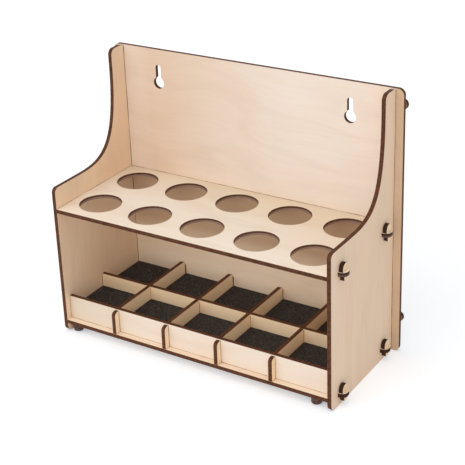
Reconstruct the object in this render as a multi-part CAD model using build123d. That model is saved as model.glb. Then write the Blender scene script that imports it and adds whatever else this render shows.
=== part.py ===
from build123d import *
import os

# Hobby workstation organizer: a small stand laser cut from one plywood sheet.
# Two side panels, a wide back panel, a shelf of bottle holes and a base of
# padded compartments hold together with tabs and pull-out locking keys.
# Millimetres. X runs left to right, Y front to back, Z up, floor at zero.

# Sheet
sheet = 4.0                 # plywood thickness of every panel

# Overall inside and main heights
inner_width = 290.0         # between the two side panels
panel_depth = 121.7         # front edge of the sides to the back panel
side_height = 263.1         # the back panel ends level with it
base_top = 13.5
shelf_top = 133.7

# Side panel outline
side_front_height = 155.0   # level arm rest at the front
side_level_depth = 40.0     # where the level top ends and the sweep starts
side_arm_depth = 20.0       # width of the upright at the rear
side_straight = 18.1        # straight front of the upright above the sweep
side_sweep_pull = 37.7      # handle of the curve at the level end
side_sweep_drop = 82.9      # handle of the curve at the upright end
side_front_round = 5.0
side_top_round = 6.0
side_rear_round = 4.5
side_foot_round = 7.0

# Back panel
back_overhang = 7.85        # how far it runs past each side panel
back_top_round = 6.0
back_foot_round = 5.0
keyhole_inset = 52.35       # centre line from the end of the panel
keyhole_drop = 34.1         # head centre below the panel's top edge
keyhole_head = 12.0         # diameter that passes over a screw head
keyhole_neck = 6.0          # width of the slot above it
keyhole_rise = 15.5         # head centre to the centre of the slot's end

# Tabs and locking keys
tab_width = 12.4
tab_reach = 7.1             # how far a tab stands out past its panel
tab_round = 5.5
side_tab_inset = 18.3       # tab centre from the front, and from the back panel
rear_tab_drop = 16.1        # upper rear tab centre below the side panel's top
rear_tab_low = 34.0         # lower rear tab centre above the floor
plate_tab_width = 13.0      # rear tabs of shelf and base, flush with the back
plate_tab_x = 115.0
key_head_width = 10.0
key_head_height = 7.5
rear_key_head_height = 9.0
key_stem_width = 5.0
key_stem_length = 9.3
key_stem_round = 1.0

# Bottle shelf
hole_diameter = 41.4
hole_front_inset = 31.0     # front row from the shelf's front edge
hole_back_inset = 29.9      # back row from the back panel
columns = 5                 # bottle holes across, and compartments below them
column_pitch = 58.0

# Compartment walls
wall_height = 24.1
front_strip_y = 6.5         # front face of the front strip
middle_strip_y = 59.3       # front face of the middle strip
divider_front = 0.3         # nose of each divider behind the base edge
nose_drop = 1.2             # nose lies lower than the rest of the divider
nose_round = 4.0
divider_rear_round = 3.5
divider_tab_width = 10.0

# Foam pads
foam_thickness = 11.0

# Feet
foot_diameter = 10.0
foot_round = 1.5
foot_left_inset = 6.2       # centre from the inside of the left panel
foot_right_inset = 15.3     # centre from the inside of the right panel
foot_front_inset = 8.7      # centre from the front edge
foot_rear_inset = 11.7      # centre from the back panel

# Clearances
slot_clearance = 0.1        # round each tab in its slot
key_clearance = 0.15        # round each key stem in its slot
key_gap = 0.4               # key plate to the panel it locks
lap_clearance = 0.1         # beside a plate in a cross lap
lap_gap = 0.2               # under the crossing in a cross lap
foam_clearance = 0.3        # pad edge to the walls round it

# Derived sizes
base_low = base_top - sheet
shelf_low = shelf_top - sheet
inner_half = inner_width / 2
outer_half = inner_half + sheet
back_rear = panel_depth + sheet
overall_depth = back_rear + tab_reach
upright_front = panel_depth - side_arm_depth
side_sweep_top = side_height - side_straight
back_half_width = outer_half + back_overhang
keyhole_x = back_half_width - keyhole_inset
keyhole_z = side_height - keyhole_drop
rear_tab_high = side_height - rear_tab_drop
hole_rows = (hole_front_inset, panel_depth - hole_back_inset)
column_x = [column_pitch * (i - (columns - 1) / 2) for i in range(columns)]
wall_top = base_top + wall_height
lap_height = base_top + wall_height / 2
side_tab_y = (side_tab_inset, panel_depth - side_tab_inset)
plate_tab_spots = (-plate_tab_x, 0.0, plate_tab_x)
divider_x = [x + column_pitch / 2 for x in column_x[:-1]]
bays = {
    "front": (front_strip_y + sheet, middle_strip_y),
    "back": (middle_strip_y + sheet, panel_depth),
}
divider_tab_y = [sum(bay) / 2 for bay in bays.values()]
foot_spots = {
    "front_left": (foot_left_inset - inner_half, foot_front_inset),
    "front_right": (inner_half - foot_right_inset, foot_front_inset),
    "rear_left": (foot_left_inset - inner_half, panel_depth - foot_rear_inset),
    "rear_right": (inner_half - foot_right_inset, panel_depth - foot_rear_inset),
}
key_slot_start = key_gap - key_clearance
key_slot_length = sheet + 2 * key_clearance
key_slot_width = key_stem_width + 2 * key_clearance
origin_shift = Location((0, -overall_depth / 2, 0))


def box_between(low, high):
    """Solid box from its two opposite corners."""
    size = [high[i] - low[i] for i in range(3)]
    middle = [(high[i] + low[i]) / 2 for i in range(3)]
    return Pos(*middle) * Box(*size)


def rounded(face, corners):
    """Round chosen corners of a flat outline, each given as (point, radius)."""
    for point, radius in corners:
        target = Vector(point[0], point[1], 0)
        near = sorted(face.vertices(), key=lambda v: (Vector(*v) - target).length)
        face = fillet(near[0], radius)
    return face


def outline(points):
    """Flat face with straight edges through the points."""
    return make_face(Polyline(*points, close=True))


def side_plate(face, x):
    """Raise a (Y, Z) outline into a plate that starts at x."""
    return extrude(Plane.YZ.offset(x) * face, amount=sheet)


def back_plate(face, y):
    """Raise an (X, Z) outline into a plate that starts at y."""
    return extrude(Plane.XZ.offset(-(y + sheet)) * face, amount=sheet)


def flat_plate(face, z):
    """Raise an (X, Y) outline into a plate that starts at z."""
    return extrude(Plane.XY.offset(z) * face, amount=sheet)


def side_panel(x):
    """Side panel with slots for the plate tabs and two tabs to the rear."""
    sweep_start = (side_level_depth, side_front_height)
    sweep_end = (upright_front, side_sweep_top)
    pull = (side_level_depth + side_sweep_pull, side_front_height)
    drop = (upright_front, side_sweep_top - side_sweep_drop)
    edge = Polyline(
        sweep_end,
        (upright_front, side_height),
        (panel_depth, side_height),
        (panel_depth, 0),
        (0, 0),
        (0, side_front_height),
        sweep_start,
    )
    face = make_face(edge + Bezier(sweep_start, pull, drop, sweep_end))
    face = rounded(face, [
        ((upright_front, side_height), side_top_round),
        ((panel_depth, side_height), side_rear_round),
        ((0, side_front_height), side_front_round),
        ((0, 0), side_foot_round),
    ])
    plate = side_plate(face, x)
    for z in (rear_tab_high, rear_tab_low):
        length = sheet + tab_reach
        tab = Pos(panel_depth + length / 2, z) * Rectangle(length, tab_width)
        tab = rounded(tab, [
            ((overall_depth, z - tab_width / 2), tab_round),
            ((overall_depth, z + tab_width / 2), tab_round),
        ])
        slot_y = back_rear + key_slot_start + key_slot_length / 2
        tab -= Pos(slot_y, z) * Rectangle(key_slot_length, key_slot_width)
        plate += side_plate(tab, x)
    for low in (base_low, shelf_low):
        for y in side_tab_y:
            wide = tab_width / 2 + slot_clearance
            plate -= box_between(
                (x - 1, y - wide, low - slot_clearance),
                (x + sheet + 1, y + wide, low + sheet + slot_clearance),
            )
    return plate


def back_panel():
    """Back panel with hanging keyholes and slots for every tab behind it."""
    face = outline([
        (-back_half_width, 0),
        (back_half_width, 0),
        (back_half_width, side_height),
        (-back_half_width, side_height),
    ])
    face = rounded(face, [
        ((-back_half_width, 0), back_foot_round),
        ((back_half_width, 0), back_foot_round),
        ((-back_half_width, side_height), back_top_round),
        ((back_half_width, side_height), back_top_round),
    ])
    for x in (-keyhole_x, keyhole_x):
        neck = Pos(x, keyhole_z + keyhole_rise / 2) * Rectangle(keyhole_neck, keyhole_rise)
        face -= neck
        face -= Pos(x, keyhole_z) * Circle(keyhole_head / 2)
        face -= Pos(x, keyhole_z + keyhole_rise) * Circle(keyhole_neck / 2)
    for x in (-inner_half - sheet / 2, inner_half + sheet / 2):
        for z in (rear_tab_high, rear_tab_low):
            wide = sheet + 2 * slot_clearance
            face -= Pos(x, z) * Rectangle(wide, tab_width + 2 * slot_clearance)
    for x in plate_tab_spots:
        for low in (base_low, shelf_low):
            wide = plate_tab_width + 2 * slot_clearance
            tall = sheet + 2 * slot_clearance
            face -= Pos(x, low + sheet / 2) * Rectangle(wide, tall)
    return back_plate(face, panel_depth)


def floor_face():
    """Outline shared by shelf and base: keyed side tabs and flush rear tabs."""
    face = Pos(0, panel_depth / 2) * Rectangle(inner_width, panel_depth)
    reach = sheet + tab_reach
    for side in (-1, 1):
        tip = side * (inner_half + reach)
        for y in side_tab_y:
            tab = Pos(side * (inner_half + reach / 2), y) * Rectangle(reach, tab_width)
            tab = rounded(tab, [
                ((tip, y - tab_width / 2), tab_round),
                ((tip, y + tab_width / 2), tab_round),
            ])
            slot_x = outer_half + key_slot_start + key_slot_length / 2
            tab -= Pos(side * slot_x, y) * Rectangle(key_slot_length, key_slot_width)
            face += tab
    for x in plate_tab_spots:
        face += Pos(x, panel_depth + sheet / 2) * Rectangle(plate_tab_width, sheet)
    return face


def shelf():
    """Upper shelf with two rows of round bottle holes."""
    face = floor_face()
    for x in column_x:
        for y in hole_rows:
            face -= Pos(x, y) * Circle(hole_diameter / 2)
    return flat_plate(face, shelf_low)


def base_plate():
    """Base with small slots that take the lower tabs of the dividers."""
    face = floor_face()
    for x in divider_x:
        for y in divider_tab_y:
            wide = sheet + 2 * slot_clearance
            long = divider_tab_width + 2 * slot_clearance
            face -= Pos(x, y) * Rectangle(wide, long)
    return flat_plate(face, base_low)


def strip(y):
    """Long wall across the base, notched from below for each divider."""
    middle = base_top + wall_height / 2
    face = Pos(0, middle) * Rectangle(inner_width, wall_height)
    notch_top = lap_height + lap_gap / 2
    for x in divider_x:
        tall = notch_top - base_top
        wide = sheet + 2 * lap_clearance
        face -= Pos(x, base_top + tall / 2) * Rectangle(wide, tall)
    return back_plate(face, y)


def divider(x):
    """Short wall front to back, notched from above for both strips."""
    nose_top = wall_top - nose_drop
    face = outline([
        (divider_front, base_top),
        (panel_depth, base_top),
        (panel_depth, wall_top),
        (front_strip_y, wall_top),
        (front_strip_y, nose_top),
        (divider_front, nose_top),
    ])
    face = rounded(face, [
        ((divider_front, nose_top), nose_round),
        ((panel_depth, wall_top), divider_rear_round),
    ])
    notch_low = lap_height - lap_gap / 2
    for y in (front_strip_y, middle_strip_y):
        tall = wall_top + 1 - notch_low
        wide = sheet + 2 * lap_clearance
        face -= Pos(y + sheet / 2, notch_low + tall / 2) * Rectangle(wide, tall)
    for y in divider_tab_y:
        face += Pos(y, base_top - sheet / 2) * Rectangle(divider_tab_width, sheet)
    return side_plate(face, x - sheet / 2)


def foam_pad(left, right, front, back):
    """Loose rectangle of foam on the floor of one compartment."""
    gap = foam_clearance
    return box_between(
        (left + gap, front + gap, base_top),
        (right - gap, back - gap, base_top + foam_thickness),
    )


def key_face(head_height):
    """Locking key: a round topped head over a narrow stem, seat at zero."""
    radius = key_head_width / 2
    straight = head_height - radius
    face = Pos(0, straight / 2) * Rectangle(key_head_width, straight)
    face += Pos(0, straight) * Circle(radius) - Pos(0, straight - radius) * Rectangle(
        2 * key_head_width, 2 * radius)
    stem = Pos(0, -key_stem_length / 2) * Rectangle(key_stem_width, key_stem_length)
    stem = rounded(stem, [
        ((-key_stem_width / 2, -key_stem_length), key_stem_round),
        ((key_stem_width / 2, -key_stem_length), key_stem_round),
    ])
    return face + stem


def side_key(side, y, seat):
    """Upright key outside a side panel, its head resting on a tab."""
    near = outer_half + key_gap
    start = near if side > 0 else -near - sheet
    return side_plate(Pos(y, seat) * key_face(key_head_height), start)


def rear_key(side, z):
    """Level key behind the back panel, pushed in from the outside."""
    seat = Pos(side * outer_half, z) * Rot(0, 0, -90 * side)
    return back_plate(seat * key_face(rear_key_head_height), back_rear + key_gap)


def foot(x, y):
    """Round post under the base with a softened lower edge."""
    post = Pos(x, y, base_low / 2) * Cylinder(foot_diameter / 2, base_low)
    lower = post.edges().filter_by(GeomType.CIRCLE).sort_by(Axis.Z)[0]
    return fillet(lower, foot_round)


pieces = {
    "side_panel_left": side_panel(-outer_half),
    "side_panel_right": side_panel(inner_half),
    "back_panel": back_panel(),
    "shelf": shelf(),
    "base_plate": base_plate(),
    "front_strip": strip(front_strip_y),
    "middle_strip": strip(middle_strip_y),
}

for number, x in enumerate(divider_x, start=1):
    pieces[f"divider_{number}"] = divider(x)

walls = [-inner_half]
for x in divider_x:
    walls += [x - sheet / 2, x + sheet / 2]
walls.append(inner_half)
for bay, (front, back) in bays.items():
    for number in range(columns):
        left = walls[2 * number]
        right = walls[2 * number + 1]
        pieces[f"foam_pad_{bay}_{number + 1}"] = foam_pad(left, right, front, back)

sides = {"left": -1, "right": 1}
for name, side in sides.items():
    for level, seat in (("shelf", shelf_top), ("base", base_top)):
        for end, y in zip(("front", "back"), side_tab_y):
            pieces[f"key_{level}_{end}_{name}"] = side_key(side, y, seat)
    for level, z in (("upper", rear_tab_high), ("lower", rear_tab_low)):
        pieces[f"key_back_{level}_{name}"] = rear_key(side, z)

for spot, (x, y) in foot_spots.items():
    pieces[f"foot_{spot}"] = foot(x, y)

os.makedirs("parts", exist_ok=True)
for name, piece in pieces.items():
    export_step(origin_shift * piece, f"parts/{name}.step")
print(len(pieces), "pieces written")
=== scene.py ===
import bpy
import math
import numpy as np
from mathutils import Matrix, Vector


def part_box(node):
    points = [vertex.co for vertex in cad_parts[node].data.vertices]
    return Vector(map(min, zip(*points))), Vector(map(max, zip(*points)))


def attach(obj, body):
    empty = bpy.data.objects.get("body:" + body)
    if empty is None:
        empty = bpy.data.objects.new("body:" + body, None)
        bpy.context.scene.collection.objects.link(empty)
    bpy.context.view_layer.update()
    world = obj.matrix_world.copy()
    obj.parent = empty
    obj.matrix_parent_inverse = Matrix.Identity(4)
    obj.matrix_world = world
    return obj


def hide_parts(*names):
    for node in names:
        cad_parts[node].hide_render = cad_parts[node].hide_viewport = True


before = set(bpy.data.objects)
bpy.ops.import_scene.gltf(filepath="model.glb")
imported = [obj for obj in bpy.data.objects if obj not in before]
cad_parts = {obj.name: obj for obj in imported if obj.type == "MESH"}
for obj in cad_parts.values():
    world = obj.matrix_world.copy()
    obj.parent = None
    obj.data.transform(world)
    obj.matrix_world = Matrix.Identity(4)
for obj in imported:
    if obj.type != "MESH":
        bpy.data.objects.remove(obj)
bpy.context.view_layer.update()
organizer = "organizer"
white = (1.0, 1.0, 1.0)
black = (0.0, 0.0, 0.0)

def addNode(tree, kind, inputs=None, **settings):
    # one node, with its sockets linked or set by name or number
    node = tree.nodes.new(kind)
    for key, value in settings.items():
        setattr(node, key, value)
    for key, value in (inputs or {}).items():
        if isinstance(value, bpy.types.NodeSocket):
            tree.links.new(value, node.inputs[key])
        else:
            node.inputs[key].default_value = value
    return node

def mathNode(tree, operation, *values, clamp=False):
    # the values feed the sockets in their order
    inputs = dict(enumerate(values))
    return addNode(tree, "ShaderNodeMath", inputs, operation=operation, use_clamp=clamp).outputs[0]

def rampNode(tree, value, stops):
    # colour ramp from (position, colour) stops, linear between them
    ramp = addNode(tree, "ShaderNodeValToRGB", {0: value})
    points = ramp.color_ramp.elements
    while len(points) < len(stops):
        points.new(0.5)
    for point, (position, colour) in zip(points, stops):
        point.position = position
        point.color = (*colour, 1.0)
    return ramp.outputs[0]

def mixColour(tree, factor, a, b, blend="MIX"):
    mix = addNode(tree, "ShaderNodeMix", data_type="RGBA", blend_type=blend)
    for socket, value in ((mix.inputs[0], factor), (mix.inputs[6], a), (mix.inputs[7], b)):
        if isinstance(value, bpy.types.NodeSocket):
            tree.links.new(value, socket)
        else:
            socket.default_value = value if isinstance(value, float) else (*value, 1.0)
    return mix.outputs[2]

def noiseNode(tree, coords, scale, detail, roughness=0.5):
    inputs = {"Vector": coords, "Scale": scale, "Detail": detail, "Roughness": roughness}
    return addNode(tree, "ShaderNodeTexNoise", inputs).outputs[0]

def placedCoords(tree, coords, shift, scale=(1, 1, 1)):
    inputs = {"Vector": coords, "Location": shift, "Scale": scale}
    return addNode(tree, "ShaderNodeMapping", inputs).outputs[0]

def grainCoords(tree, coords, grainAxis, along, across, shift):
    # coordinates squeezed differently along and across the grain, shifted per piece
    scale = [across] * 3
    scale[grainAxis] = along
    return placedCoords(tree, coords, shift, scale)

def bumpNode(tree, height, strength, distance):
    inputs = {"Height": height, "Strength": strength, "Distance": distance}
    return addNode(tree, "ShaderNodeBump", inputs).outputs[0]

def emptyMaterial(name):
    material = bpy.data.materials.new(name)
    material.use_nodes = True
    material.node_tree.nodes.clear()
    return material, material.node_tree

def surface(tree, inputs):
    shader = addNode(tree, "ShaderNodeBsdfPrincipled", inputs)
    addNode(tree, "ShaderNodeOutputMaterial", {"Surface": shader.outputs[0]})

def newPiece(name, points, faces):
    mesh = bpy.data.meshes.new(name)
    mesh.from_pydata(points, [], faces)
    mesh.update()
    piece = bpy.data.objects.new(name, mesh)
    bpy.context.scene.collection.objects.link(piece)
    return piece

def dress(nodeName, material):
    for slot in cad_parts[nodeName].material_slots:
        slot.material = material

birchLook = {
    "pale": (0.95, 0.75, 0.55),       # the slow tone runs from pale to warm
    "warm": (0.90, 0.67, 0.455),
    "toneAlong": 4.0,
    "toneAcross": 13.0,
    "streak": (0.70, 0.51, 0.355),    # fine streaks along the grain
    "streakAlong": 7.0,
    "streakAcross": 330.0,
    "streakAmount": 0.16,
    "figureAlong": 4.5,               # contour lines of a slow field
    "figureAcross": 22.0,
    "figureRings": 30.0,
    "ringThinness": 4.5,
    "figureAmount": 0.14,
    "wander": 0.030,                  # how far the grain drifts, in metres
    "wanderScale": 8.0,
    "burnDark": (0.042, 0.013, 0.005),
    "burnMid": (0.105, 0.034, 0.014),
    "burnPale": (0.185, 0.070, 0.032),
    "charScale": 420.0,
    "paintedShade": (0.006, 0.003, 0.002),    # painted shade on the edges of tabs past this |x|
    "paintedShadeBeyond": 1.0,
    "paintedShadeAmount": 0.62,
    "paintedFrontShade": (0.78, 0.67, 0.54),     # painted shade on a front face past this |x|
    "paintedFrontShadeBeyond": 1.0,
    "lightAndShadeTints": [],
    "faceRoughness": 0.52,
    "roughnessSpread": 0.12,
    "specular": 0.14,
    "bump": 0.10,
    "bumpDepth": 0.0004,
    "sheetThickness": 0.004,
}
# the keys' burnt edges are darker than the plates' as painted shade
keyLook = {
    "pale": (0.97, 0.77, 0.52),
    "warm": (0.93, 0.67, 0.40),
    "burnDark": (0.016, 0.007, 0.005),
    "burnMid": (0.036, 0.016, 0.011),
    "burnPale": (0.065, 0.030, 0.020),
}
# the rear keys' front faces carry painted shade all over
rearKeyLook = {**keyLook, "paintedFrontShade": (0.36, 0.25, 0.19), "paintedFrontShadeBeyond": -1.0}
# painted bounce light: the compartment walls get a brighter, more golden colour than the other
# plates
wallBounceLightLook = {"pale": (1.0, 0.80, 0.56), "warm": (1.0, 0.755, 0.49), "streak": (0.82, 0.60, 0.40)}

def woodFace(tree, coords, grainAxis, shift, look):
    # the grain wanders: coordinates pushed sideways by a slow noise
    slow = placedCoords(tree, coords, shift)
    drift = mathNode(tree, "SUBTRACT", noiseNode(tree, slow, look["wanderScale"], 1.0), 0.5)
    drift = mathNode(tree, "MULTIPLY", drift, look["wander"])
    wavy = addNode(tree, "ShaderNodeVectorMath", {0: coords, 1: drift}, operation="ADD").outputs[0]

    def field(kind, fieldShift, detail, roughness=0.5):
        along, across = look[kind + "Along"], look[kind + "Across"]
        stretched = grainCoords(tree, wavy, grainAxis, along, across, fieldShift)
        return noiseNode(tree, stretched, 1.0, detail, roughness)

    tone = field("tone", (shift[2], shift[0], shift[1]), 2.0)
    streaks = field("streak", shift, 5.0, 0.62)
    # thin rings: half of one plus the sine of the field, raised to a power
    rings = mathNode(tree, "MULTIPLY", field("figure", shift, 2.0, 0.45), look["figureRings"])
    rings = mathNode(tree, "ADD", mathNode(tree, "SINE", rings), 1.0)
    rings = mathNode(tree, "POWER", mathNode(tree, "MULTIPLY", rings, 0.5), look["ringThinness"])

    colour = rampNode(tree, tone, [(0.30, look["pale"]), (0.75, look["warm"])])
    streakMask = rampNode(tree, streaks, [(0.42, black), (0.72, white)])
    streakMask = mathNode(tree, "MULTIPLY", streakMask, look["streakAmount"])
    ringMask = mathNode(tree, "MULTIPLY", rings, look["figureAmount"])
    for mask in (streakMask, ringMask):
        colour = mixColour(tree, mask, colour, look["streak"])
    return colour, streaks

def paintLightAndShade(tree, colour, parts, normals, faceAxis, look):
    # painted shade on the front face past the ends of the sheet
    forward = mathNode(tree, "LESS_THAN", normals[1], -0.5)
    reachX = mathNode(tree, "ABSOLUTE", parts[0])
    past = mathNode(tree, "GREATER_THAN", reachX, look["paintedFrontShadeBeyond"])
    amount = mathNode(tree, "MULTIPLY", forward, past)
    colour = mixColour(tree, amount, colour, look["paintedFrontShade"], "MULTIPLY")

    # painted shade and painted light as slow tints on the side that is seen, within those ends and
    # above a height
    shown = forward if faceAxis == 1 else mathNode(tree, "GREATER_THAN", normals[faceAxis], 0.5)
    shown = mathNode(tree, "MULTIPLY", shown, mathNode(tree, "SUBTRACT", 1.0, past))
    for axis, above, stops in look["lightAndShadeTints"]:
        start, end = stops[0][0], stops[-1][0]
        reach = addNode(tree, "ShaderNodeMapRange", {0: parts[axis], 1: start, 2: end}).outputs[0]
        stops = [((place - start) / (end - start), tint) for place, tint in stops]
        over = mathNode(tree, "GREATER_THAN", parts[2], above)
        amount = mathNode(tree, "MULTIPLY", shown, over)
        colour = mixColour(tree, amount, colour, rampNode(tree, reach, stops), "MULTIPLY")
    return colour

def burntEdge(tree, coords, parts, faceAxis, middle, shift, look):
    # plies counted from the middle of the sheet, with uneven char over them
    depth = mathNode(tree, "SUBTRACT", parts[faceAxis], middle)
    depth = mathNode(tree, "DIVIDE", depth, look["sheetThickness"] / 2)
    plies = rampNode(tree, mathNode(tree, "ABSOLUTE", depth), [
        (0.00, look["burnMid"]), (0.26, look["burnPale"]), (0.34, look["burnDark"]),
        (0.42, look["burnMid"]), (0.86, look["burnPale"]), (1.00, look["burnDark"])])
    charCoords = placedCoords(tree, coords, shift, [look["charScale"]] * 3)
    char = noiseNode(tree, charCoords, 1.0, 3.0)
    charMask = rampNode(tree, char, [(0.35, black), (0.7, (0.8, 0.8, 0.8))])
    colour = mixColour(tree, charMask, plies, look["burnDark"])

    if "holeWall" in look:    # hole walls are paler on their lower half
        wall = look["holeWall"]
        inside = mathNode(tree, "GREATER_THAN", parts[1], wall["behind"])
        lower = mathNode(tree, "SUBTRACT", middle, parts[faceAxis])
        lower = mathNode(tree, "MULTIPLY_ADD", lower, wall["steepness"], wall["start"], clamp=True)
        lower = mathNode(tree, "MULTIPLY", inside, lower)
        colour = mixColour(tree, lower, colour, wall["colour"])
    # painted shade: the burnt edges of the tabs past the side panels are darkened as if in shade
    reachX = mathNode(tree, "ABSOLUTE", parts[0])
    outside = mathNode(tree, "GREATER_THAN", reachX, look["paintedShadeBeyond"])
    outside = mathNode(tree, "MULTIPLY", outside, look["paintedShadeAmount"])
    return mixColour(tree, outside, colour, look["paintedShade"]), char

def birchPly(name, faceAxis, grainAxis, middle, shift, look):
    # a wooden face where the normal points across the sheet, and a burnt edge elsewhere
    material, tree = emptyMaterial(name)
    texture = addNode(tree, "ShaderNodeTexCoord")
    coords = texture.outputs["Object"]
    parts = addNode(tree, "ShaderNodeSeparateXYZ", {0: coords}).outputs
    normals = addNode(tree, "ShaderNodeSeparateXYZ", {0: texture.outputs["Normal"]}).outputs

    faceColour, streaks = woodFace(tree, coords, grainAxis, shift, look)
    faceColour = paintLightAndShade(tree, faceColour, parts, normals, faceAxis, look)
    edgeColour, char = burntEdge(tree, coords, parts, faceAxis, middle, shift, look)
    acrossSheet = mathNode(tree, "ABSOLUTE", normals[faceAxis])
    onFace = mathNode(tree, "GREATER_THAN", acrossSheet, 0.6)

    streakHeight = mathNode(tree, "MULTIPLY", streaks, onFace)
    height = mathNode(tree, "ADD", streakHeight, mathNode(tree, "MULTIPLY", char, 0.5))
    spread = look["roughnessSpread"]
    surface(tree, {
        "Base Color": mixColour(tree, onFace, edgeColour, faceColour),
        "Roughness": mathNode(tree, "MULTIPLY_ADD", streaks, spread, look["faceRoughness"]),
        "Normal": bumpNode(tree, height, look["bump"], look["bumpDepth"]),
        "Specular IOR Level": look["specular"],
    })
    return material

# painted shade and light tints: axis, height above which they show, (place, colour) stops
everywhere = -1.0
# painted shade: the back panel darker and warmer under the shelf, with painted light brightening
# it below 6 cm
paintedLightAndShadeBelowShelf = (2, everywhere, [
    (0.060, (1.08, 1.02, 0.90)),
    (0.082, (0.70, 0.55, 0.41)),
    (0.1318, (0.70, 0.55, 0.41)),
    (0.1322, white)])
# painted shade: the back panel above the shelf darker towards the left side panel
paintedShadeLeftOfBack = (0, 0.132, [
    (-0.145, (0.96, 0.93, 0.89)),
    (-0.115, (0.885, 0.78, 0.69)),
    (-0.095, (0.885, 0.78, 0.69)),
    (-0.040, (0.94, 0.89, 0.84)),
    (0.050, white)])
# painted shade: the shelf top darker towards the back panel
paintedShadeRearOfShelf = (1, everywhere, [
    (-0.064, white),
    (-0.006, (0.90, 0.90, 0.90)),
    (0.045, (0.81, 0.79, 0.745)),
    (0.055, (0.79, 0.765, 0.70))])
# painted shade: the front strip darker towards the left side panel
paintedShadeLeftOfStrip = (0, everywhere, [
    (-0.145, (0.867, 0.838, 0.766)),
    (-0.100, (0.93, 0.92, 0.88)),
    (-0.050, white)])

# the plates' pale and warm colours are partly each sheet's own tone and partly painted light: back
# panel, shelf and strips paler and cooler as lit faces, the side panels warmer
# axis across the sheet, axis along the grain, shift of the pattern, changes to the look
plates = {
    "side_panel_left": (0, 2, (3.1, 7.7, 1.3), {
        "pale": (0.94, 0.725, 0.53),
        "warm": (0.89, 0.645, 0.44),
    }),
    "side_panel_right": (0, 2, (9.4, 2.2, 5.0), {
        "pale": (0.935, 0.74, 0.565),
        "warm": (0.90, 0.67, 0.49),
    }),
    "back_panel": (1, 0, (4.2, 1.9, 8.6), {
        "pale": (0.92, 0.80, 0.705),
        "warm": (0.88, 0.735, 0.605),
        "streakAmount": 0.13,
        "figureAmount": 0.13,
        "figureAcross": 17.0,
        "wander": 0.035,
        "paintedFrontShadeBeyond": 0.1491,
        "lightAndShadeTints": [paintedLightAndShadeBelowShelf, paintedShadeLeftOfBack],
    }),
    "shelf": (2, 0, (6.3, 3.4, 2.7), {
        "pale": (0.99, 0.885, 0.755),
        "warm": (0.96, 0.79, 0.61),
        "streakAmount": 0.10,
        "paintedShadeBeyond": 0.1494,
        "holeWall": {
            "behind": -0.0652,    # leaves out the shelf's front edge
            "colour": (0.30, 0.19, 0.14),
            "steepness": 900.0,
            "start": 0.45,
        },
        "lightAndShadeTints": [paintedShadeRearOfShelf],
    }),
    "base_plate": (2, 0, (1.7, 8.8, 4.1), {
        "pale": (0.95, 0.82, 0.68),
        "paintedShadeBeyond": 0.1494,
    }),
    "front_strip": (1, 0, (7.9, 5.5, 3.3), {
        "pale": (0.905, 0.795, 0.69),
        "warm": (0.875, 0.73, 0.60),
        "streakAmount": 0.10,
        "lightAndShadeTints": [paintedShadeLeftOfStrip],
    }),
    "middle_strip": (1, 0, (2.5, 6.1, 9.2), wallBounceLightLook),
}
for number in range(1, 5):
    plates[f"divider_{number}"] = (0, 1, (1.9 * number, 4.7, 2.3 * number), wallBounceLightLook)
for nodeName in sorted(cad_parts):
    if nodeName.startswith("key_back_"):
        plates[nodeName] = (1, 0, (len(plates), 2.0, 1.0), rearKeyLook)
    elif nodeName.startswith("key_"):
        plates[nodeName] = (0, 2, (len(plates), 1.0, 2.0), keyLook)
for nodeName, (faceAxis, grainAxis, shift, changes) in plates.items():
    low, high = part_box(nodeName)
    middle = (low[faceAxis] + high[faceAxis]) / 2
    look = {**birchLook, **changes}
    dress(nodeName, birchPly("birch_" + nodeName, faceAxis, grainAxis, middle, shift, look))
print("plywood plates dressed:", len(plates))

# the dark lines in the joints, painted shade of the gaps between plates together with their burnt
# edges: lengths in metres, weights in units of the width
seamShape = {
    "width": 0.00022,
    "uneven": 0.00010,
    "leastWidth": 0.00008,
    "lift": 0.00004,          # height over the face that carries the line
    "step": 0.003,
    "smoothing": 4,
    "inset": 0.001,           # kept back from a free end
    "underLap": 0.0012,
    "underRound": 0.0035,
}
seamWeights = {
    "backCorner": 1.5,
    "outerCorner": 1.2,
    "shelfSide": 1.3,
    "shelfUnder": 1.0,
    "shelfBack": 1.6,
    "stripFront": 1.4,
    "stripBack": 1.0,
    "stripFoot": 1.2,
    "dividerBack": 3.0,
    "dividerStrip": 1.2,
    "dividerFoot": 1.0,
}
seamColours = {
    "darkSeams": {"dark": (0.05, 0.020, 0.010), "pale": (0.16, 0.075, 0.04)},
    "faintSeams": {"dark": (0.30, 0.17, 0.10), "pale": (0.50, 0.34, 0.22)},
}

def seamMaterial(name, colours):
    material, tree = emptyMaterial(name)
    coords = addNode(tree, "ShaderNodeTexCoord").outputs["Object"]
    paintedShade = noiseNode(tree, coords, 160.0, 3.0)
    colour = rampNode(tree, paintedShade, [(0.38, colours["dark"]), (0.66, colours["pale"])])
    surface(tree, {"Base Color": colour, "Roughness": 0.8, "Specular IOR Level": 0.1})
    return material

def seamRibbons(start, end, sideA, sideB, weight, seed, shape=seamShape):
    # two strips of wavering width in the corner of two faces, one lying on each:
    # point = start + (end - start) * t + one side * lift, and that plus the other side * width
    start, end, sideA, sideB = (np.array(v, float) for v in (start, end, sideA, sideB))
    count = max(4, int(np.linalg.norm(end - start) / shape["step"]))
    t = np.linspace(0, 1, count)[:, None]
    waver = np.random.default_rng(seed).normal(0, 1, count)
    window = np.ones(shape["smoothing"]) / shape["smoothing"]
    waver = np.convolve(waver, window, "same")[:, None]
    width = weight * np.clip(shape["width"] + shape["uneven"] * waver, shape["leastWidth"], None)
    line = start + (end - start) * t
    strips = []
    for along, off in ((sideA, sideB), (sideB, sideA)):
        inner = line + off * shape["lift"]
        strips.append(np.stack([inner, inner + along * width], 1))
    return strips

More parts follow.
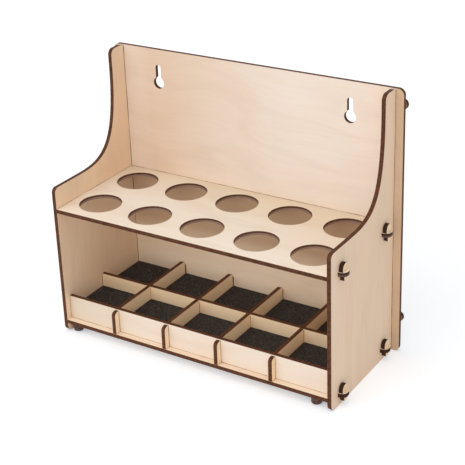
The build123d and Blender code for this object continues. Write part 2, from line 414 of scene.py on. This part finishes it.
def seamMesh(name, seams):
    points, faces, total = [], [], 0
    for seed, seam in enumerate(seams):
        for strip in seamRibbons(*seam, seed):
            count = len(strip)
            row = np.arange(count - 1) * 2 + total
            faces.append(np.stack([row, row + 1, row + 3, row + 2], 1))
            points.append(strip.reshape(-1, 3))
            total += 2 * count
    return newPiece(name, np.concatenate(points).tolist(), np.concatenate(faces).tolist())

def upright(x, y, bottom, top, sides, weight):
    return (x, y, bottom), (x, y, top), *sides, weight

def frontToBack(x, z, front, back, sides, weight):
    return (x, front, z), (x, back, z), *sides, weight

def leftToRight(y, z, reach, sides, weight):
    return (-reach, y, z), (reach, y, z), *sides, weight

def allSeams(shape=seamShape, weights=seamWeights):
    # each seam: start, end, direction along one face, direction along the other, weight
    sideLow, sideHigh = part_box("side_panel_right")
    inner, outer = sideLow[0], sideHigh[0]
    front, top = sideLow[1], sideHigh[2] - shape["inset"]
    shelfLow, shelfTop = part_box("shelf")[0][2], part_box("shelf")[1][2]
    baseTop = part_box("base_plate")[1][2]
    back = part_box("back_panel")[0][1]
    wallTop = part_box("middle_strip")[1][2]
    frontStrip, middleStrip = ([corner[1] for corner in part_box(name)]
                               for name in ("front_strip", "middle_strip"))
    left, right = (-1, 0, 0), (1, 0, 0)
    forward, rearward = (0, -1, 0), (0, 1, 0)
    down, up = (0, 0, -1), (0, 0, 1)
    inset = front + shape["inset"]
    dark, faint = [], []

    for side, inward, outward in ((-1, right, left), (1, left, right)):
        x = side * inner
        corner = weights["backCorner"]
        dark.append(upright(x, back, shelfTop, top, (inward, forward), corner))
        dark.append(upright(x, back, baseTop, shelfLow, (inward, forward), corner))
        dark.append(upright(side * outer, back, shape["inset"], top,
                            (outward, forward), weights["outerCorner"]))
        faint.append(frontToBack(x, shelfTop, inset, back, (inward, up), weights["shelfSide"]))
        dark.append(frontToBack(x, shelfLow, inset, back, (inward, down), weights["shelfUnder"]))
        for strip, seams in ((frontStrip, faint), (middleStrip, dark)):
            seams.append(upright(x, strip[0], baseTop, wallTop,
                                 (inward, forward), weights["stripFront"]))
            dark.append(upright(x, strip[1], baseTop, wallTop,
                                (inward, rearward), weights["stripBack"]))
    faint.append(leftToRight(back, shelfTop, inner, (up, forward), weights["shelfBack"]))
    dark.append(leftToRight(back, shelfLow, inner, (down, forward), weights["shelfUnder"]))
    faint.append(leftToRight(frontStrip[0], baseTop, inner, (forward, up), weights["stripFoot"]))

    for number in range(1, 5):
        low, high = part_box(f"divider_{number}")
        for x, away in ((low[0], left), (high[0], right)):
            dark.append(upright(x, back, baseTop, wallTop - shape["underRound"],
                                (away, forward), weights["dividerBack"]))
            for strip in (frontStrip, middleStrip):
                dark.append(upright(x, strip[0], baseTop, wallTop - shape["underLap"],
                                    (away, forward), weights["dividerStrip"]))
                dark.append(upright(x, strip[1], baseTop, wallTop,
                                    (away, rearward), weights["dividerStrip"]))
            faint.append(frontToBack(x, baseTop, low[1], frontStrip[0],
                                     (away, up), weights["dividerFoot"]))
    return {"darkSeams": dark, "faintSeams": faint}

for name, seams in allSeams().items():
    lines = seamMesh(name, seams)
    lines.data.materials.append(seamMaterial(name, seamColours[name]))
    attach(lines, organizer)
print("seams drawn")

footLook = {
    "dark": (0.026, 0.009, 0.005),
    "brown": (0.14, 0.050, 0.022),
    "mottle": 420.0,
    "roughness": 0.40,
    "bump": 0.08,
    "bumpDepth": 0.0003,
}

def footMaterial(look=footLook):
    material, tree = emptyMaterial("brownFoot")
    coords = addNode(tree, "ShaderNodeTexCoord").outputs["Object"]
    mottle = noiseNode(tree, coords, look["mottle"], 4.0)
    surface(tree, {
        "Base Color": rampNode(tree, mottle, [(0.35, look["dark"]), (0.7, look["brown"])]),
        "Roughness": look["roughness"],
        "Normal": bumpNode(tree, mottle, look["bump"], look["bumpDepth"]),
    })
    return material

brownFoot = footMaterial()
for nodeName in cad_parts:
    if nodeName.startswith("foot_"):
        dress(nodeName, brownFoot)
print("feet dressed")

foamLook = {
    "dark": (0.021, 0.018, 0.016),
    "mid": (0.060, 0.051, 0.046),
    "fleck": (0.23, 0.20, 0.18),
    "cell": 620.0,
    "grain": 806.0,
    "roughness": 0.95,
    "specular": 0.15,
    "bump": 0.7,
    "bumpDepth": 0.0008,
}
foamShape = {
    "cornerRadius": 0.0012,
    "cornerPoints": 6,
    "sidePoints": 18,
    "longSide": 0.005,       # a stretch longer than this gets side points
    "footInset": 0.0008,
    "edgeRadius": 0.0010,
    "edgePoints": 6,
    "underEdge": 0.001,
    "topRings": 26,
    "topMiddle": 0.06,       # size of the last ring against the first
    "waviness": 0.00035,
    "waveLength": 0.03,
}

def foamMaterial(look=foamLook):
    material, tree = emptyMaterial("darkFoam")
    coords = addNode(tree, "ShaderNodeTexCoord").outputs["Object"]
    cellInputs = {"Vector": coords, "Scale": look["cell"]}
    cells = addNode(tree, "ShaderNodeTexVoronoi", cellInputs).outputs["Distance"]
    grain = noiseNode(tree, coords, look["grain"], 4.0, 0.7)
    stops = [(0.36, look["dark"]), (0.55, look["mid"]), (0.74, look["fleck"])]
    shade = mathNode(tree, "MULTIPLY", cells, 0.5, clamp=True)
    height = mathNode(tree, "SUBTRACT", grain, cells)
    surface(tree, {
        "Base Color": mixColour(tree, shade, rampNode(tree, grain, stops), look["dark"]),
        "Roughness": look["roughness"],
        "Normal": bumpNode(tree, height, look["bump"], look["bumpDepth"]),
        "Specular IOR Level": look["specular"],
    })
    return material

def roundedRectangle(half, radius, count):
    # four quarter circles of count points: centre + radius * (cosine, sine) of the angle
    quarter = np.linspace(0, np.pi / 2, count)
    path = []
    for turn, signs in enumerate(((1, 1), (-1, 1), (-1, -1), (1, -1))):
        angle = quarter + turn * np.pi / 2
        centre = np.array(signs) * (half - radius)
        path.append(centre + radius * np.stack([np.cos(angle), np.sin(angle)], 1))
    return np.concatenate(path)

def dividedSides(path, steps, longSide):
    # evenly spaced points added on the long straight stretches of a closed path
    following = np.roll(path, -1, axis=0)
    pieces = []
    for start, end in zip(path, following):
        cuts = steps if np.linalg.norm(end - start) > longSide else 1
        part = np.linspace(0, 1, cuts, endpoint=False)[:, None]
        pieces.append(start + (end - start) * part)
    return np.concatenate(pieces)

def closedRings(name, rings, bottomPole, topPole):
    # rings of equal length skinned with quads and closed by a fan at each end
    ringCount, count = rings.shape[:2]
    points = np.concatenate([rings.reshape(-1, 3), [bottomPole, topPole]])
    here = np.arange(count)
    after = (here + 1) % count
    band = np.stack([here, after, after + count, here + count], 1)
    quads = np.concatenate([band + i * count for i in range(ringCount - 1)])
    bottomIndex, topIndex = ringCount * count, ringCount * count + 1
    last = (ringCount - 1) * count
    lowFan = np.stack([after, here, np.full(count, bottomIndex)], 1)
    highFan = np.stack([last + here, last + after, np.full(count, topIndex)], 1)
    piece = newPiece(name, points.tolist(), quads.tolist() + lowFan.tolist() + highFan.tolist())
    piece.data.polygons.foreach_set("use_smooth", [True] * len(piece.data.polygons))
    return piece

def foamRings(low, high, seed, shape):
    # wall: the outline pulled in by an inset, at rising levels, with a quarter circle at the rim
    centre, half = (low + high) / 2, (high - low) / 2
    outline = roundedRectangle(half[:2], shape["cornerRadius"], shape["cornerPoints"])
    outline = dividedSides(outline, shape["sidePoints"], shape["longSide"])
    radius = shape["edgeRadius"]
    rim = np.linspace(0, np.pi / 2, shape["edgePoints"])
    inset = np.concatenate([[shape["footInset"], 0, 0, 0], radius * (1 - np.cos(rim))])
    wallLevels = [low[2], low[2] + shape["footInset"], centre[2],
                  high[2] - radius - shape["underEdge"]]
    level = np.concatenate([wallLevels, high[2] - radius * (1 - np.sin(rim))])
    scale = 1 - inset[:, None, None] / half[:2]
    levels = np.broadcast_to(level[:, None, None], (len(level), len(outline), 1))
    wall = np.concatenate([centre[:2] + outline[None] * scale, levels], 2)

    # top: the rim shrunk towards the middle, lowered by two crossed sine waves and a slanted one
    shrink = np.linspace(1, shape["topMiddle"], shape["topRings"])[1:, None, None]
    topXY = centre[:2] + (wall[-1, :, :2] - centre[:2]) * shrink
    phase = np.random.default_rng(seed).uniform(0, 2 * np.pi, 3)
    x, y = np.moveaxis((topXY - centre[:2]) / shape["waveLength"], -1, 0)
    ripple = np.sin(2.1 * x + phase[0]) * np.sin(1.7 * y + phase[1])
    ripple = ripple + 0.5 * np.sin(4.3 * x + 3.1 * y + phase[2])
    sink = shape["waviness"] * (0.8 + 0.5 * ripple) * (1 - shrink[..., 0] ** 6)
    top = np.concatenate([topXY, (high[2] - sink)[..., None]], 2)
    return np.concatenate([wall, top])

def foamPad(nodeName, material, seed, shape=foamShape):
    low, high = (np.array(corner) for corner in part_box(nodeName))
    rings = foamRings(low, high, seed, shape)
    middle = (low + high)[:2] / 2
    piece = closedRings(nodeName, rings, [*middle, low[2]], [*middle, rings[-1, :, 2].mean()])
    piece.data.materials.append(material)
    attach(piece, organizer)
    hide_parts(nodeName)

darkFoam = foamMaterial()
padNames = sorted(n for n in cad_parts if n.startswith("foam_pad_"))
for seed, nodeName in enumerate(padNames):
    foamPad(nodeName, darkFoam, seed)
print("foam pads laid:", len(padNames))

studio = {
    "floorSize": 14.0,
    "floorColour": (0.90, 0.90, 0.90),    # what lights the object
    "floorSeen": (0.97, 0.93, 0.88),      # what the camera sees, shadow and glow together
    "floorGlow": (0.24, 0.295, 0.355),
    "skyLevel": 0.495,
    "lamps": [    # name, direction it comes from, strength, angle in degrees
        ("keyLight", (-0.47, -0.67, 0.57), 0.76, 55.0),
        ("sideLight", (0.50, -0.50, 0.84), 0.40, 50.0),
        ("fillLight", (0.30, -0.94, 0.14), 0.68, 60.0),
        ("topLight", (0.0, 0.0, 1.0), 0.30, 50.0),
    ],
}
cameraView = {
    "right": (0.849293, 0.526820, -0.034081),
    "down": (0.186090, -0.359162, -0.914535),
    "ahead": (-0.494036, 0.770366, -0.403070),
    "place": (0.584349, -0.892356, 0.632026),
    "lens": 97.457,
    "sensor": 36,
    "shift": -0.102151,
}

def seenDirectly(tree):
    path = addNode(tree, "ShaderNodeLightPath").outputs
    return mathNode(tree, "MAXIMUM", path["Is Camera Ray"], path["Is Glossy Ray"])

def studioFloor(settings=studio):
    half = settings["floorSize"] / 2
    corners = [(-half, -half, 0), (half, -half, 0), (half, half, 0), (-half, half, 0)]
    floor = newPiece("studioFloor", corners, [(0, 1, 2, 3)])
    material, tree = emptyMaterial("paleFloor")

    def shader(kind, colour):
        return addNode(tree, kind, {"Color": (*settings[colour], 1)}).outputs[0]

    plain = shader("ShaderNodeBsdfDiffuse", "floorColour")
    shaded = shader("ShaderNodeBsdfDiffuse", "floorSeen")
    glow = shader("ShaderNodeEmission", "floorGlow")
    bright = addNode(tree, "ShaderNodeAddShader", {0: shaded, 1: glow}).outputs[0]
    mixInputs = {0: seenDirectly(tree), 1: plain, 2: bright}
    mix = addNode(tree, "ShaderNodeMixShader", mixInputs).outputs[0]
    addNode(tree, "ShaderNodeOutputMaterial", {"Surface": mix})
    floor.data.materials.append(material)

def studioSky(settings=studio):
    world = bpy.data.worlds.new("studioSky")
    world.use_nodes = True
    tree = world.node_tree
    tree.nodes.clear()
    sky, seen = (addNode(tree, "ShaderNodeBackground", {"Color": (1, 1, 1, 1), "Strength": level})
                 for level in (settings["skyLevel"], 1.0))
    mixInputs = {0: seenDirectly(tree), 1: sky.outputs[0], 2: seen.outputs[0]}
    mix = addNode(tree, "ShaderNodeMixShader", mixInputs).outputs[0]
    addNode(tree, "ShaderNodeOutputWorld", {"Surface": mix})
    bpy.context.scene.world = world

def studioLamps(settings=studio):
    for name, (x, y, z), strength, angle in settings["lamps"]:
        lamp = bpy.data.lights.new(name, "SUN")
        lamp.energy = strength
        lamp.angle = math.radians(angle)
        source = bpy.data.objects.new(name, lamp)
        bpy.context.scene.collection.objects.link(source)
        source.rotation_euler = (math.atan2(math.hypot(x, y), z), 0, math.atan2(x, -y))

def studioCamera(view=cameraView):
    data = bpy.data.cameras.new("studioCamera")
    data.sensor_width = view["sensor"]
    data.lens = view["lens"]
    data.shift_y = view["shift"]
    camera = bpy.data.objects.new("studioCamera", data)
    bpy.context.scene.collection.objects.link(camera)
    # columns of the matrix: right, up, back and place
    rows = zip(view["right"], view["down"], view["ahead"], view["place"])
    rows = [(right, -down, -ahead, place) for right, down, ahead, place in rows]
    camera.matrix_world = Matrix(rows + [(0, 0, 0, 1)])
    bpy.context.scene.camera = camera

studioFloor()
studioSky()
studioLamps()
studioCamera()
bpy.context.scene.view_settings.view_transform = "Standard"
print("studio ready")
